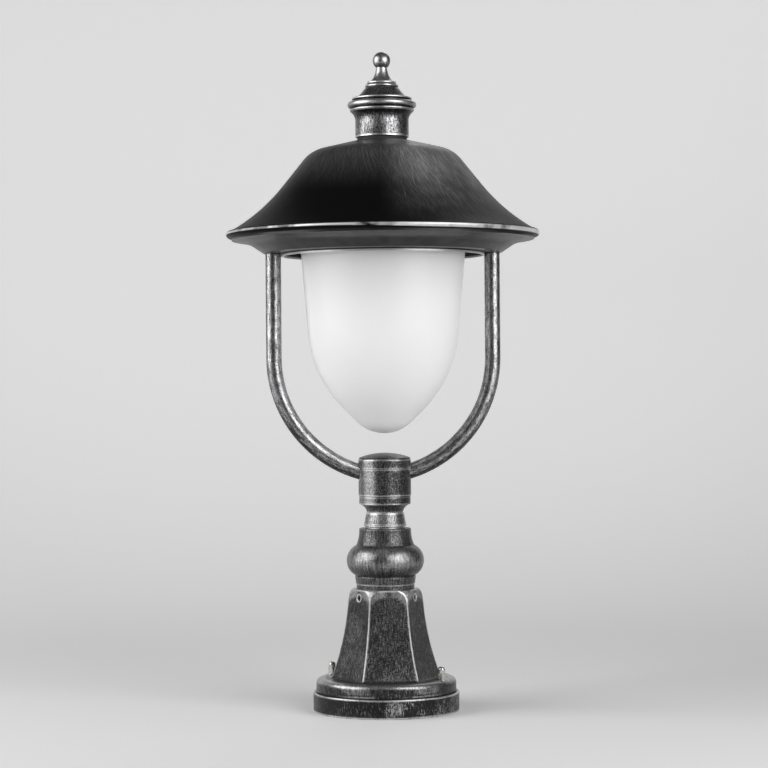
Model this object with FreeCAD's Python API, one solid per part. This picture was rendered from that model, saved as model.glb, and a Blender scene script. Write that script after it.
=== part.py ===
import FreeCAD, Part
import math
import os

from FreeCAD import Vector

# Garden lamp post in millimetres. It stands on z = 0, its arms lie along x and a pedestal panel faces -y.

# Fits
PLAY = 0.2
THREAD_PLAY = 0.1

# Mounting dish
BASE_D = 150.0
BASE_H = 19.5
BASE_WALL = 8.0
BASE_FLOOR = 5.0
BASE_EDGE = 0.8
ANCHOR_COUNT = 4
ANCHOR_PCD = 104.0
ANCHOR_HOLE_D = 7.0
STUD_INSET = 10.0
STUD_D = 5.0
STUD_BOSS_D = 12.0
STUD_BOSS_H = 12.0
STUD_SEAT = 9.0
GASKET_T = 1.0
GASKET_INSET = 1.0

# Cable grommet
GROMMET_D = 20.0
GROMMET_BORE_D = 9.0
GROMMET_FLANGE_D = 26.0
GROMMET_FLANGE_T = 2.0
GROMMET_RECESS = 0.5
CABLE_Y = -20.0

# Terminal block and earth screw
TERMINAL_WAYS = 3
TERMINAL_PITCH = 10.0
TERMINAL_W = 17.0
TERMINAL_H = 14.0
TERMINAL_Y = 34.0
TERMINAL_HOLE_D = 4.4
TERMINAL_GROOVE_W = 1.6
CLAMP_SCREW_D = 3.6
CLAMP_SPACING = 9.0
BLOCK_SCREW_D = 2.5
BLOCK_SCREW_HEAD_D = 4.5
BLOCK_SCREW_BITE = 4.0
EARTH_X = 36.0
EARTH_BOSS_D = 10.0
EARTH_BOSS_H = 3.0
EARTH_SCREW_D = 4.0
EARTH_HEAD_D = 8.0
EARTH_HEAD_H = 2.8
SLOT_W = 1.0

# Nuts and washers on the flange
WASHER_D = 10.0
WASHER_T = 1.2
NUT_AF = 8.0
NUT_HEX_H = 5.5
NUT_H = 12.5
NUT_NECK_D = 7.4
NUT_BLIND = 2.5

# Pedestal
FLANGE_STEP = 3.0
FLANGE_H = 13.0
FLANGE_EDGE = 5.0
FLANGE_WALL = 5.0
FLANGE_PLATE = 5.0
PEDESTAL_H = 91.5
PEDESTAL_WALL = 4.5
WASHER_ROOM = 6.0
HEX_HEAD_AF = 66.0
PANEL_SAG = 3.2
PANEL_COVE = 3.0
MOUTH_D = 69.6
MOUTH_EDGE = 0.8
SHOULDER_D = 74.0
SHOULDER_DROP = 4.5
SHOULDER_SLOPE = 0.235
SOCKET_DEPTH = 21.0
SOCKET_LEDGE = 4.0
SOCKET_FLOOR = 5.0
SET_SCREW_D = 6.0
SET_SCREW_DROP = 8.5
SET_SCREW_SINK = 0.8
SET_SCREW_KEY = 2.5

# Baluster
SHANK_D = 59.6
SHANK_SHOW = 5.0
FOOT_COLLAR_H = 8.5
FOOT_COLLAR_D = 62.6
FOOT_COLLAR_TAPER = 1.0
CREASE = 0.8
BULB_D = 79.6
BULB_H = 31.5
BULB_END_D = 61.0
NECK_H = 17.0
NECK_TOP_D = 53.4
NECK_HOLLOW = 0.9
BALUSTER_WALL = 6.0
BALUSTER_WEB = 10.0

# Neck collar
COLLAR_GROOVE_D = 40.0
COLLAR_GROOVE_H = 1.8
COLLAR_FOOT_D = 43.6
COLLAR_HEAD_D = 38.6
COLLAR_BAND_H = 3.2
COLLAR_BAND_STEP = 0.5
NECK_COLLAR_H = 16.0

# Tie nipple
NIPPLE_D = 16.0
NIPPLE_BORE_D = 11.0
NIPPLE_PROUD = 2.0
NIPPLE_NUT_AF = 22.0
NIPPLE_NUT_H = 6.0

# Hub
HUB_D = 54.0
HUB_H = 55.0
HUB_FOOT_D = 37.0
HUB_FOOT_H = 8.5
HUB_FOOT_SAG = 1.6
HUB_BAND_H = 8.0
HUB_LINE = 0.6
HUB_LINE_H = 45.0
HUB_WALL = 5.0
HUB_FLOOR = 18.0
HUB_ARM_H = 42.5
LID_EDGE = 1.4
LID_RISE = 5.0
LID_SPIGOT = 2.5
LID_WALL = 2.0

# Arms
ARM_D = 16.0
ARM_WALL = 1.5
ARM_X = 113.0
ARM_BEND_R = 122.0
ARM_LEAD = 1.5
ARM_STICK = 3.0
BUSH_D = 10.0
BUSH_BORE_D = 7.0
BUSH_SEAT = 16.0
BUSH_PROUD = 1.5
ARM_WASHER_D = 17.0
ARM_WASHER_T = 1.2
ARM_NUT_AF = 14.0
ARM_NUT_H = 5.0

# Tray
TRAY_T = 2.4
TRAY_LIP_GAP = 0.5
TRAY_LIP_H = 3.0
TRAY_RING_GAP = 1.6
TRAY_KNEE_SHARE = 0.49
TRAY_KNEE_H = 9.0
TRAY_KNEE_ROUND = 20.0
TRAY_RIM_H = 13.4
TRAY_RIM_W = 5.5
TRAY_RIM_INSET = 5.5
TRAY_EDGE = 1.0

# Lamp bridge
BRIDGE_T = 2.5
BRIDGE_W = 22.0
BRIDGE_RISE = 17.5
BRIDGE_GAP = 3.0
BRIDGE_END = 5.5
BRIDGE_SLANT = 6.0
BRIDGE_BEND = 4.0

# Hood
HOOD_D = 322.0
HOOD_H = 100.0
HOOD_T = 2.0
HOOD_BEAD_D = 7.0
HOOD_FLANGE_W = 8.0
HOOD_LAND_D = 54.0
HOOD_LAND_ROUND = 6.0
HOOD_CORNER_D = 148.5
HOOD_CORNER_DROP = 11.3
HOOD_CORNER_ROUND = 32.0
HOOD_WAIST_D = 251.4
HOOD_WAIST_H = 25.2
HOOD_WAIST_ROUND = 225.0

# Rod, seal, collar and finial
ROD_D = 8.0
ROD_BITE = 9.0
ROD_NUT_AF = 13.0
ROD_NUT_H = 8.0
SEAL_D = 51.0
SEAL_T = 3.3
COLLAR_D = 71.0
COLLAR_H = 54.2
COLLAR_CAVITY_D = 44.0
COLLAR_CAVITY_ROUND = 6.0
COLLAR_WEB = 26.0
FINIAL_D = 31.0
FINIAL_H = 33.9
FINIAL_BALL_D = 18.2

# Collar turning as (share of radius, share of height, sag as a share of radius)
COLLAR_TURNING = (
    (0.775, 0.000, 0.0),
    (0.775, 0.290, 0.0),
    (0.912, 0.488, -0.045),
    (0.912, 0.494, 0.0),
    (0.912, 0.540, 0.026),
    (0.870, 0.548, 0.0),
    (0.870, 0.562, 0.0),
    (0.870, 0.668, 0.130),
    (0.800, 0.672, 0.0),
    (0.800, 0.708, 0.0),
    (0.855, 0.711, 0.0),
    (0.855, 0.750, 0.020),
    (0.715, 0.752, 0.0),
    (0.482, 0.937, 0.0),
    (0.455, 0.942, 0.0),
    (0.455, 1.000, 0.030),
)

# Finial turning below the ball, in the same shares
FINIAL_TURNING = (
    (0.860, 0.000, 0.0),
    (0.940, 0.020, 0.0),
    (0.940, 0.086, 0.060),
    (0.740, 0.105, 0.0),
    (0.365, 0.430, -0.085),
)

# Gallery pan and diffuser
GALLERY_T = 1.6
GALLERY_H = 14.6
GALLERY_EDGE = 3.0
GALLERY_SCREW_D = 4.0
GALLERY_SCREW_HEAD_D = 8.0
GALLERY_SCREW_HEAD_T = 4.0
DIFFUSER_GAP = 16.6
DIFFUSER_H = 201.0
DIFFUSER_CLEAR = 20.0
DIFFUSER_T = 3.5
DIFFUSER_TAPER = 4.75
DIFFUSER_CONE = 45.0
DIFFUSER_BELLY = 128.0
DIFFUSER_TIP = 40.0
BEAD_OUT = 2.0
BEAD_H = 4.0
BEAD_PLAY = 1.5
DIFFUSER_SEAL_T = 2.5

# Lampholder and bulb
HOLDER_D = 40.0
HOLDER_FLANGE_D = 56.0
HOLDER_FLANGE_H = 8.0
HOLDER_H = 40.0
SHELL_D = 30.0
SHELL_T = 0.8
SHELL_H = 24.0
CAP_D = 26.2
CAP_H = 25.0
CONTACT_D = 9.0
CONTACT_T = 2.0
CONTACT_SPREAD = 20.0
HOLDER_SCREW_D = 4.0
HOLDER_SCREW_HEAD_D = 7.0
HOLDER_SCREW_HEAD_T = 2.6
HOLDER_SCREW_BITE = 6.0
BULB_GLOBE_D = 60.0
BULB_LENGTH = 107.0
BULB_COLLAR_D = 30.0

# Supply lead
LEAD_D = 5.5
LEAD_Z = 7.0
LEAD_BEND = 16.0
LEAD_TURN = 15.0
LEAD_RISE = 20.0
LEAD_ENTRY_X = 12.0
LEAD_HOLE_D = 6.5

# Directions about z: panel normals, the studs, the set screws and the gallery screws
STUD_ANGLES = (-30.0, 150.0)
SET_SCREW_ANGLES = (-30.0, 90.0, 210.0)
GALLERY_ANGLES = (90.0, 210.0, 330.0)
ANCHOR_ANGLES = tuple(45.0 + i * 360.0 / ANCHOR_COUNT for i in range(ANCHOR_COUNT))

# Foot: the flange steps in from the dish, the studs from the flange and the panels from the washers
FLANGE_D = BASE_D - 2 * FLANGE_STEP
STUD_PCD = FLANGE_D - 2 * STUD_INSET
HEX_FOOT_AF = STUD_PCD - WASHER_D - 2 * (PANEL_COVE + WASHER_ROOM)

# Levels
FLANGE_Z = BASE_H + GASKET_T
PEDESTAL_Z = FLANGE_Z + FLANGE_H
MOUTH_Z = PEDESTAL_Z + PEDESTAL_H
SOCKET_Z = MOUTH_Z - SOCKET_DEPTH
FOOT_COLLAR_Z = MOUTH_Z + SHANK_SHOW
BULB_Z = FOOT_COLLAR_Z + FOOT_COLLAR_H
NECK_Z = BULB_Z + BULB_H
BALUSTER_TOP_Z = NECK_Z + NECK_H
HUB_Z = BALUSTER_TOP_Z + NECK_COLLAR_H
HUB_TOP_Z = HUB_Z + HUB_H
HUB_FLOOR_Z = HUB_Z + HUB_FLOOR
LID_TOP_Z = HUB_TOP_Z + LID_EDGE + LID_RISE

# Arm bend: a vertical run up to the tray, an arc about one centre and a straight tail into the hub
ARM_END_X = HUB_D / 2 + ARM_LEAD
ARM_BEND = math.acos(1.0 - (ARM_X - ARM_END_X) / ARM_BEND_R)
ARM_SLOPE = math.cos(ARM_BEND) / math.sin(ARM_BEND)
ARM_AXIS_Z = HUB_Z + HUB_ARM_H - ARM_SLOPE * HUB_D / 2
BEND_Z = ARM_AXIS_Z + ARM_SLOPE * ARM_END_X + ARM_BEND_R * math.sin(ARM_BEND)

LIP_R = ARM_X - ARM_D / 2 - TRAY_LIP_GAP
RING_R = ARM_X + ARM_D / 2 + TRAY_RING_GAP
DIFFUSER_D = 2 * (LIP_R - TRAY_T - DIFFUSER_GAP)
GLASS_TOP_Z = LID_TOP_Z + DIFFUSER_CLEAR + DIFFUSER_H
PAN_Z = GLASS_TOP_Z + DIFFUSER_SEAL_T
BRIDGE_Z = PAN_Z + GALLERY_T
RING_TOP_Z = BRIDGE_Z - BRIDGE_RISE
TRAY_Z = RING_TOP_Z - TRAY_T
RIM_Z = TRAY_Z + TRAY_RIM_H + TRAY_T
BRIDGE_TOP_Z = BRIDGE_Z + BRIDGE_T
CROWN_Z = RIM_Z + HOOD_H
COLLAR_Z = CROWN_Z + SEAL_T
FINIAL_Z = COLLAR_Z + COLLAR_H
BALL_Z = FINIAL_Z + FINIAL_H - FINIAL_BALL_D / 2
GALLERY_SCREW_Z = GLASS_TOP_Z - BEAD_H - GALLERY_SCREW_D / 2 - THREAD_PLAY
SET_SCREW_Z = MOUTH_Z - SET_SCREW_DROP
NUT_Z = PEDESTAL_Z + WASHER_T
CONTACT_Z = PAN_Z - HOLDER_FLANGE_H - CONTACT_T

UP = Vector(0, 0, 1)
ORIGIN = Vector(0, 0, 0)
WIDE = 4 * HOOD_D
TINY = 1e-6
FILL = 0.999


def corner(r, z, rounding=0.0, sag=0.0):
    """A point of a turned section, with its rounding and the outward sag of the edge that arrives at it."""
    return Vector(r, 0, z), rounding, sag


def half_angle(before, here, after):
    """Half the angle between the two edges at a corner."""
    return (before - here).getAngle(after - here) / 2


def reaches(points, closed):
    """How far each corner's rounding runs along its edges, with neighbours sharing an edge that is too short."""
    count = len(points)
    wanted = []
    for i, (here, rounding, _) in enumerate(points):
        if rounding and (closed or 0 < i < count - 1):
            half = half_angle(points[i - 1][0], here, points[(i + 1) % count][0])
            wanted.append(rounding / math.tan(half))
        else:
            wanted.append(0.0)
    shares = [1.0] * count
    for i in range(count if closed else count - 1):
        j = (i + 1) % count
        need = wanted[i] + wanted[j]
        room = (points[j][0] - points[i][0]).Length * FILL
        if need > room:
            shares[i] = min(shares[i], room / need)
            shares[j] = min(shares[j], room / need)
    return [reach * share for reach, share in zip(wanted, shares)]


def round_off(before, here, after, reach):
    """The start, middle and end of the arc that rounds a corner."""
    back = (before - here).normalize()
    ahead = (after - here).normalize()
    half = half_angle(before, here, after)
    depth = reach / math.cos(half) - reach * math.tan(half)
    return here + back * reach, here + (back + ahead).normalize() * depth, here + ahead * reach


def path_edges(points, closed):
    """Straight edges and arcs through a row of corners."""
    count = len(points)
    arcs = []
    for i, reach in enumerate(reaches(points, closed)):
        here = points[i][0]
        if reach:
            arcs.append(round_off(points[i - 1][0], here, points[(i + 1) % count][0], reach))
        else:
            arcs.append((here, None, here))
    edges = []
    for i in range(count if closed else count - 1):
        start = arcs[i][2]
        end, middle, leave = arcs[(i + 1) % count]
        sag = points[(i + 1) % count][2]
        if sag:
            along = (end - start).normalize()
            bulge = (start + end) * 0.5 + Vector(along.z, 0, -along.x) * sag
            edges.append(Part.Arc(start, bulge, end).toShape())
        elif (end - start).Length > TINY:
            edges.append(Part.LineSegment(start, end).toShape())
        if middle:
            edges.append(Part.Arc(end, middle, leave).toShape())
    return edges


def arc_sag(radius, start, end):
    """The sag of an arc of a radius between two (r, z) points."""
    half_chord = math.dist(start, end) / 2
    return radius - math.sqrt(radius ** 2 - half_chord ** 2)


def turned(points):
    """A solid of revolution about z from a closed section."""
    face = Part.Face(Part.Wire(path_edges(points, True)))
    return face.revolve(ORIGIN, UP, 360)


def parallel(points, distance):
    """The same open path, shifted to its left by a distance."""
    spots = [point[0] for point in points]
    aims = [(b - a).normalize() for a, b in zip(spots, spots[1:])]
    lefts = [Vector(-aim.z, 0, aim.x) for aim in aims]
    shifted = [(spots[0] + lefts[0] * distance, 0.0, 0.0)]
    for i in range(1, len(spots) - 1):
        bend = lefts[i - 1] + lefts[i]
        spot = spots[i] + bend * (2 * distance / bend.Length ** 2)
        turns_left = aims[i].dot(lefts[i - 1]) > 0
        rounding = points[i][1]
        if rounding:
            rounding = max(rounding + (-distance if turns_left else distance), 0.0)
        shifted.append((spot, rounding, 0.0))
    shifted.append((spots[-1] + lefts[-1] * distance, 0.0, 0.0))
    return shifted


def spun(points, thickness):
    """A sheet of even thickness, spun about z, to the left of an open path."""
    return turned(points + parallel(points, thickness)[::-1])


def drum(diameter, low, high, x=0.0, y=0.0):
    return Part.makeCylinder(diameter / 2, high - low, Vector(x, y, low), UP)


def pipe(outer, inner, low, high, x=0.0, y=0.0):
    return drum(outer, low, high, x, y).cut(drum(inner, low, high, x, y))


def hexagon(across_flats, low, high, x=0.0, y=0.0):
    """An upright hexagonal bar."""
    reach = across_flats / math.sqrt(3)
    turns = [math.radians(60 * i) for i in range(7)]
    ring = [Vector(x + reach * math.cos(t), y + reach * math.sin(t), low) for t in turns]
    return Part.Face(Part.makePolygon(ring)).extrude(UP * (high - low))


def around(shape, angles):
    """Copies of a shape turned about z to a list of directions."""
    copies = []
    for angle in angles:
        copy = shape.copy()
        copy.rotate(ORIGIN, UP, angle)
        copies.append(copy)
    return copies


def radial(diameter, near, far, z):
    """A bar that lies along x from one radius to another."""
    return Part.makeCylinder(diameter / 2, far - near, Vector(near, 0, z), Vector(1, 0, 0))


def cut_all(shape, tools):
    for tool in tools:
        shape = shape.cut(tool)
    return shape


def swept(points, diameter):
    """A round bar along a path of straight runs and tangent arcs."""
    route = Part.Wire(path_edges(points, False))
    start = points[0][0]
    aim = points[1][0] - start
    ring = Part.Wire(Part.Circle(start, aim, diameter / 2).toShape())
    return route.makePipeShell([ring], True, False)


def scaled(table, radius, height, z):
    """Corners from a table of shares of a radius and a height."""
    return [corner(r * radius, z + h * height, 0, sag * radius) for r, h, sag in table]


def mounting_dish():
    outer = BASE_D / 2
    inner = outer - BASE_WALL
    body = turned([
        corner(0, 0),
        corner(outer, 0, BASE_EDGE),
        corner(outer, BASE_H, BASE_EDGE),
        corner(inner, BASE_H),
        corner(inner, BASE_FLOOR),
        corner(0, BASE_FLOOR),
    ])
    boss = drum(STUD_BOSS_D, BASE_FLOOR / 2, BASE_FLOOR + STUD_BOSS_H, STUD_PCD / 2)
    for post in around(boss, STUD_ANGLES):
        body = body.fuse(post)
    body = body.fuse(drum(EARTH_BOSS_D, BASE_FLOOR / 2, BASE_FLOOR + EARTH_BOSS_H, EARTH_X))
    stud_top = BASE_FLOOR + STUD_BOSS_H
    stud_hole = drum(STUD_D + 2 * THREAD_PLAY, stud_top - STUD_SEAT, stud_top, STUD_PCD / 2)
    anchor_hole = drum(ANCHOR_HOLE_D, 0, BASE_FLOOR, ANCHOR_PCD / 2)
    earth_top = BASE_FLOOR + EARTH_BOSS_H
    earth_hole = drum(EARTH_SCREW_D + 2 * THREAD_PLAY, earth_top - BASE_FLOOR, earth_top, EARTH_X)
    block_holes = [
        drum(BLOCK_SCREW_D + 2 * THREAD_PLAY, BASE_FLOOR - BLOCK_SCREW_BITE, BASE_FLOOR, x, TERMINAL_Y)
        for x in block_screw_places()
    ]
    tools = around(stud_hole, STUD_ANGLES) + around(anchor_hole, ANCHOR_ANGLES) + block_holes
    return cut_all(body, tools + [drum(GROMMET_D, 0, BASE_FLOOR, 0, CABLE_Y), earth_hole]).removeSplitter()


def base_gasket():
    outer = FLANGE_D - 2 * GASKET_INSET
    return pipe(outer, FLANGE_D - 2 * FLANGE_WALL, BASE_H, FLANGE_Z)


def flange_studs():
    low = BASE_FLOOR + STUD_BOSS_H - STUD_SEAT
    high = NUT_Z + NUT_H - NUT_BLIND - THREAD_PLAY
    return around(drum(STUD_D, low, high, STUD_PCD / 2), STUD_ANGLES)


def flange_washers():
    hole = STUD_D + 2 * PLAY
    return around(pipe(WASHER_D, hole, PEDESTAL_Z, NUT_Z, STUD_PCD / 2), STUD_ANGLES)


def acorn_nuts():
    reach = NUT_AF / math.sqrt(3)
    hexagonal = hexagon(NUT_AF, NUT_Z, NUT_Z + NUT_HEX_H)
    chamfer = turned([
        corner(0, NUT_Z),
        corner(reach, NUT_Z),
        corner(reach, NUT_Z + NUT_HEX_H - (reach - NUT_AF / 2)),
        corner(NUT_AF / 2, NUT_Z + NUT_HEX_H),
        corner(0, NUT_Z + NUT_HEX_H),
    ])
    neck = NUT_NECK_D / 2
    dome_z = NUT_Z + NUT_H - neck
    dome = turned([
        corner(0, NUT_Z + NUT_HEX_H / 2),
        corner(neck, NUT_Z + NUT_HEX_H / 2),
        corner(neck, dome_z),
        corner(0, NUT_Z + NUT_H, 0, arc_sag(neck, (neck, dome_z), (0, NUT_Z + NUT_H))),
    ])
    bore = drum(STUD_D + 2 * THREAD_PLAY, NUT_Z, NUT_Z + NUT_H - NUT_BLIND)
    nut = hexagonal.common(chamfer).fuse(dome).cut(bore).removeSplitter()
    nut.translate(Vector(STUD_PCD / 2, 0, 0))
    return around(nut, STUD_ANGLES)


def cable_grommet():
    bore = GROMMET_BORE_D / 2
    body = GROMMET_D / 2 - PLAY / 2
    flange = GROMMET_FLANGE_D / 2
    top = BASE_FLOOR + GROMMET_FLANGE_T
    grommet = turned([
        corner(bore, GROMMET_RECESS),
        corner(body, GROMMET_RECESS),
        corner(body, BASE_FLOOR),
        corner(flange, BASE_FLOOR),
        corner(flange, top, GROMMET_FLANGE_T / 2),
        corner(bore, top),
    ])
    grommet.translate(Vector(0, CABLE_Y, 0))
    return grommet


def way_places():
    """The x of each way of the terminal block."""
    middle = (TERMINAL_WAYS - 1) / 2
    return [(i - middle) * TERMINAL_PITCH for i in range(TERMINAL_WAYS)]


def block_screw_places():
    """The x of the two fixing screws, midway between ways."""
    return [-TERMINAL_PITCH / 2, TERMINAL_PITCH / 2]


def clamp_places():
    return [(x, TERMINAL_Y + side * CLAMP_SPACING / 2) for x in way_places() for side in (-1, 1)]


def terminal_block():
    length = TERMINAL_WAYS * TERMINAL_PITCH
    back = TERMINAL_Y - TERMINAL_W / 2
    top = BASE_FLOOR + TERMINAL_H
    block = Part.makeBox(length, TERMINAL_W, TERMINAL_H, Vector(-length / 2, back, BASE_FLOOR))
    wire_z = BASE_FLOOR + LEAD_Z
    tools = [
        Part.makeCylinder(TERMINAL_HOLE_D / 2, TERMINAL_W, Vector(x, back, wire_z), Vector(0, 1, 0))
        for x in way_places()
    ]
    tools += [drum(CLAMP_SCREW_D + 2 * THREAD_PLAY, wire_z, top, x, y) for x, y in clamp_places()]
    for x in block_screw_places():
        groove_z = BASE_FLOOR + TERMINAL_H / 2
        corner_spot = Vector(x - TERMINAL_GROOVE_W / 2, back, groove_z)
        tools.append(Part.makeBox(TERMINAL_GROOVE_W, TERMINAL_W, TERMINAL_H, corner_spot))
        tools.append(drum(BLOCK_SCREW_HEAD_D + 2 * PLAY, groove_z, top, x, TERMINAL_Y))
        tools.append(drum(BLOCK_SCREW_D + 2 * PLAY, BASE_FLOOR, groove_z, x, TERMINAL_Y))
    return cut_all(block, tools)


def slotted(head_d, low, high, x, y):
    """A round screw head with a slot across its top."""
    head = drum(head_d, low, high, x, y)
    slot = Part.makeBox(SLOT_W, 2 * head_d, SLOT_W, Vector(x - SLOT_W / 2, y - head_d, high - SLOT_W))
    return head.cut(slot)


def clamp_screws():
    low = BASE_FLOOR + LEAD_Z + TERMINAL_HOLE_D / 2
    high = BASE_FLOOR + TERMINAL_H - THREAD_PLAY
    return [slotted(CLAMP_SCREW_D, low, high, x, y) for x, y in clamp_places()]


def block_screws():
    seat = BASE_FLOOR + TERMINAL_H / 2
    head_t = BLOCK_SCREW_HEAD_D / 2
    screws = []
    for x in block_screw_places():
        shank = drum(BLOCK_SCREW_D, BASE_FLOOR - BLOCK_SCREW_BITE, seat, x, TERMINAL_Y)
        head = slotted(BLOCK_SCREW_HEAD_D, seat, seat + head_t, x, TERMINAL_Y)
        screws.append(shank.fuse(head))
    return screws


def earth_screw():
    seat = BASE_FLOOR + EARTH_BOSS_H
    head = slotted(EARTH_HEAD_D, seat, seat + EARTH_HEAD_H, EARTH_X, 0)
    return head.fuse(drum(EARTH_SCREW_D, seat - BASE_FLOOR, seat, EARTH_X))


def panel_reach(z):
    """Half the distance across two opposite hollow panels at a height."""
    share = (z - PEDESTAL_Z) / PEDESTAL_H
    hollow = 4 * PANEL_SAG * share * (1 - share)
    return (HEX_FOOT_AF + share * (HEX_HEAD_AF - HEX_FOOT_AF)) / 2 - hollow


def panel_slab():
    """A thick slab between two opposite hollow panels, which face along x."""
    foot = HEX_FOOT_AF / 2
    head = HEX_HEAD_AF / 2
    cove = PANEL_COVE * (1 - math.sqrt(0.5))
    root = PEDESTAL_Z - FLANGE_PLATE / 2
    cove_z = PEDESTAL_Z + PANEL_COVE
    right = [
        corner(foot + PANEL_COVE, root),
        corner(foot + PANEL_COVE, PEDESTAL_Z),
        corner(foot, cove_z, 0, -cove),
        corner(head, MOUTH_Z, 0, -PANEL_SAG),
    ]
    left = [
        corner(-head, MOUTH_Z),
        corner(-foot, cove_z, 0, -PANEL_SAG),
        corner(-foot - PANEL_COVE, PEDESTAL_Z, 0, -cove),
        corner(-foot - PANEL_COVE, root),
    ]
    face = Part.Face(Part.Wire(path_edges(right + left, True)))
    face.translate(Vector(0, -WIDE / 2, 0))
    return face.extrude(Vector(0, WIDE, 0))


def pedestal_outside():
    """Six hollow panels that run out in a round shoulder."""
    slab = panel_slab()
    slabs = around(slab, (30.0, 90.0, 150.0))
    shoulder = SHOULDER_D / 2
    shoulder_z = MOUTH_Z - SHOULDER_DROP
    skirt_z = PEDESTAL_Z + PEDESTAL_H / 4
    skirt_line = shoulder + (shoulder_z - skirt_z) * SHOULDER_SLOPE
    skirt = skirt_line + HEX_FOOT_AF
    envelope = turned([
        corner(0, PEDESTAL_Z - FLANGE_PLATE),
        corner(skirt, PEDESTAL_Z - FLANGE_PLATE),
        corner(skirt, skirt_z),
        corner(skirt_line, skirt_z),
        corner(shoulder, shoulder_z, SHOULDER_DROP),
        corner(MOUTH_D / 2, MOUTH_Z - MOUTH_EDGE),
        corner(MOUTH_D / 2 - MOUTH_EDGE, MOUTH_Z),
        corner(0, MOUTH_Z),
    ])
    return slabs[0].common(slabs[1]).common(slabs[2]).common(envelope)


def pedestal():
    flange = FLANGE_D / 2
    plate = turned([
        corner(0, FLANGE_Z),
        corner(flange, FLANGE_Z),
        corner(flange, PEDESTAL_Z, FLANGE_EDGE),
        corner(0, PEDESTAL_Z),
    ])
    body = plate.fuse(pedestal_outside())
    under_z = PEDESTAL_Z - FLANGE_PLATE
    web_z = SOCKET_Z - SOCKET_FLOOR
    socket = SHANK_D / 2 + PLAY
    throat = socket - SOCKET_LEDGE
    room_low = panel_reach(PEDESTAL_Z) - PEDESTAL_WALL
    room_high = panel_reach(web_z) - PEDESTAL_WALL
    cavity = turned([
        corner(0, FLANGE_Z),
        corner(flange - FLANGE_WALL, FLANGE_Z),
        corner(flange - FLANGE_WALL, under_z),
        corner(room_low, under_z),
        corner(room_high, web_z),
        corner(throat, web_z),
        corner(throat, SOCKET_Z),
        corner(socket, SOCKET_Z),
        corner(socket, MOUTH_Z),
        corner(0, MOUTH_Z),
    ])
    stud_hole = drum(STUD_D + 2 * PLAY, under_z, PEDESTAL_Z, STUD_PCD / 2)
    screw_hole = radial(SET_SCREW_D + 2 * THREAD_PLAY, throat, HEX_FOOT_AF, SET_SCREW_Z)
    tools = [cavity] + around(stud_hole, STUD_ANGLES) + around(screw_hole, SET_SCREW_ANGLES)
    return cut_all(body, tools).removeSplitter()


def set_screws():
    near = SHANK_D / 2
    far = panel_reach(SET_SCREW_Z) - SET_SCREW_SINK
    screw = radial(SET_SCREW_D, near, far, SET_SCREW_Z)
    key = hexagon(SET_SCREW_KEY, 0, SET_SCREW_KEY)
    key.rotate(ORIGIN, Vector(0, 1, 0), 90)
    key.translate(Vector(far - SET_SCREW_KEY / 2, 0, SET_SCREW_Z))
    return around(screw.cut(key), SET_SCREW_ANGLES)


def baluster():
    shank = SHANK_D / 2
    collar_head = FOOT_COLLAR_D / 2
    collar_foot = collar_head - FOOT_COLLAR_TAPER
    bulb_end = BULB_END_D / 2
    body = turned([
        corner(0, SOCKET_Z),
        corner(shank, SOCKET_Z),
        corner(shank, FOOT_COLLAR_Z),
        corner(collar_foot, FOOT_COLLAR_Z, CREASE),
        corner(collar_head, BULB_Z - CREASE, CREASE),
        corner(bulb_end, BULB_Z),
        corner(bulb_end, NECK_Z - CREASE, 0, BULB_D / 2 - bulb_end),
        corner(bulb_end - CREASE, NECK_Z),
        corner(NECK_TOP_D / 2, BALUSTER_TOP_Z - CREASE, 0, -NECK_HOLLOW),
        corner(NECK_TOP_D / 2 - CREASE, BALUSTER_TOP_Z),
        corner(0, BALUSTER_TOP_Z),
    ])
    chamber = shank - BALUSTER_WALL
    tunnel = NIPPLE_NUT_AF / math.sqrt(3) + 2 * PLAY
    hole = NIPPLE_D / 2 + PLAY
    web_z = BALUSTER_TOP_Z - BALUSTER_WEB
    chamber_z = BULB_Z + BULB_H / 2
    hollow = turned([
        corner(0, SOCKET_Z),
        corner(chamber, SOCKET_Z),
        corner(chamber, chamber_z),
        corner(tunnel, chamber_z + chamber - tunnel),
        corner(tunnel, web_z),
        corner(hole, web_z),
        corner(hole, BALUSTER_TOP_Z),
        corner(0, BALUSTER_TOP_Z),
    ])
    return body.cut(hollow)


def neck_collar():
    hole = NIPPLE_D / 2 + PLAY
    groove = COLLAR_GROOVE_D / 2
    foot = COLLAR_FOOT_D / 2
    band_z = BALUSTER_TOP_Z + COLLAR_GROOVE_H + COLLAR_BAND_H
    return turned([
        corner(hole, BALUSTER_TOP_Z),
        corner(groove, BALUSTER_TOP_Z),
        corner(groove, BALUSTER_TOP_Z + COLLAR_GROOVE_H),
        corner(foot, BALUSTER_TOP_Z + COLLAR_GROOVE_H, COLLAR_BAND_STEP),
        corner(foot, band_z, COLLAR_BAND_STEP),
        corner(foot - COLLAR_BAND_STEP, band_z),
        corner(COLLAR_HEAD_D / 2, HUB_Z, COLLAR_BAND_STEP),
        corner(hole, HUB_Z),
    ])


def tie_nipple():
    low = BALUSTER_TOP_Z - BALUSTER_WEB - NIPPLE_NUT_H - NIPPLE_PROUD
    high = HUB_FLOOR_Z + NIPPLE_NUT_H + NIPPLE_PROUD
    return pipe(NIPPLE_D, NIPPLE_BORE_D, low, high)


def nipple_nuts():
    under = BALUSTER_TOP_Z - BALUSTER_WEB
    nuts = []
    for low in (under - NIPPLE_NUT_H, HUB_FLOOR_Z):
        high = low + NIPPLE_NUT_H
        nuts.append(hexagon(NIPPLE_NUT_AF, low, high).cut(drum(NIPPLE_D + 2 * THREAD_PLAY, low, high)))
    return nuts


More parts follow.
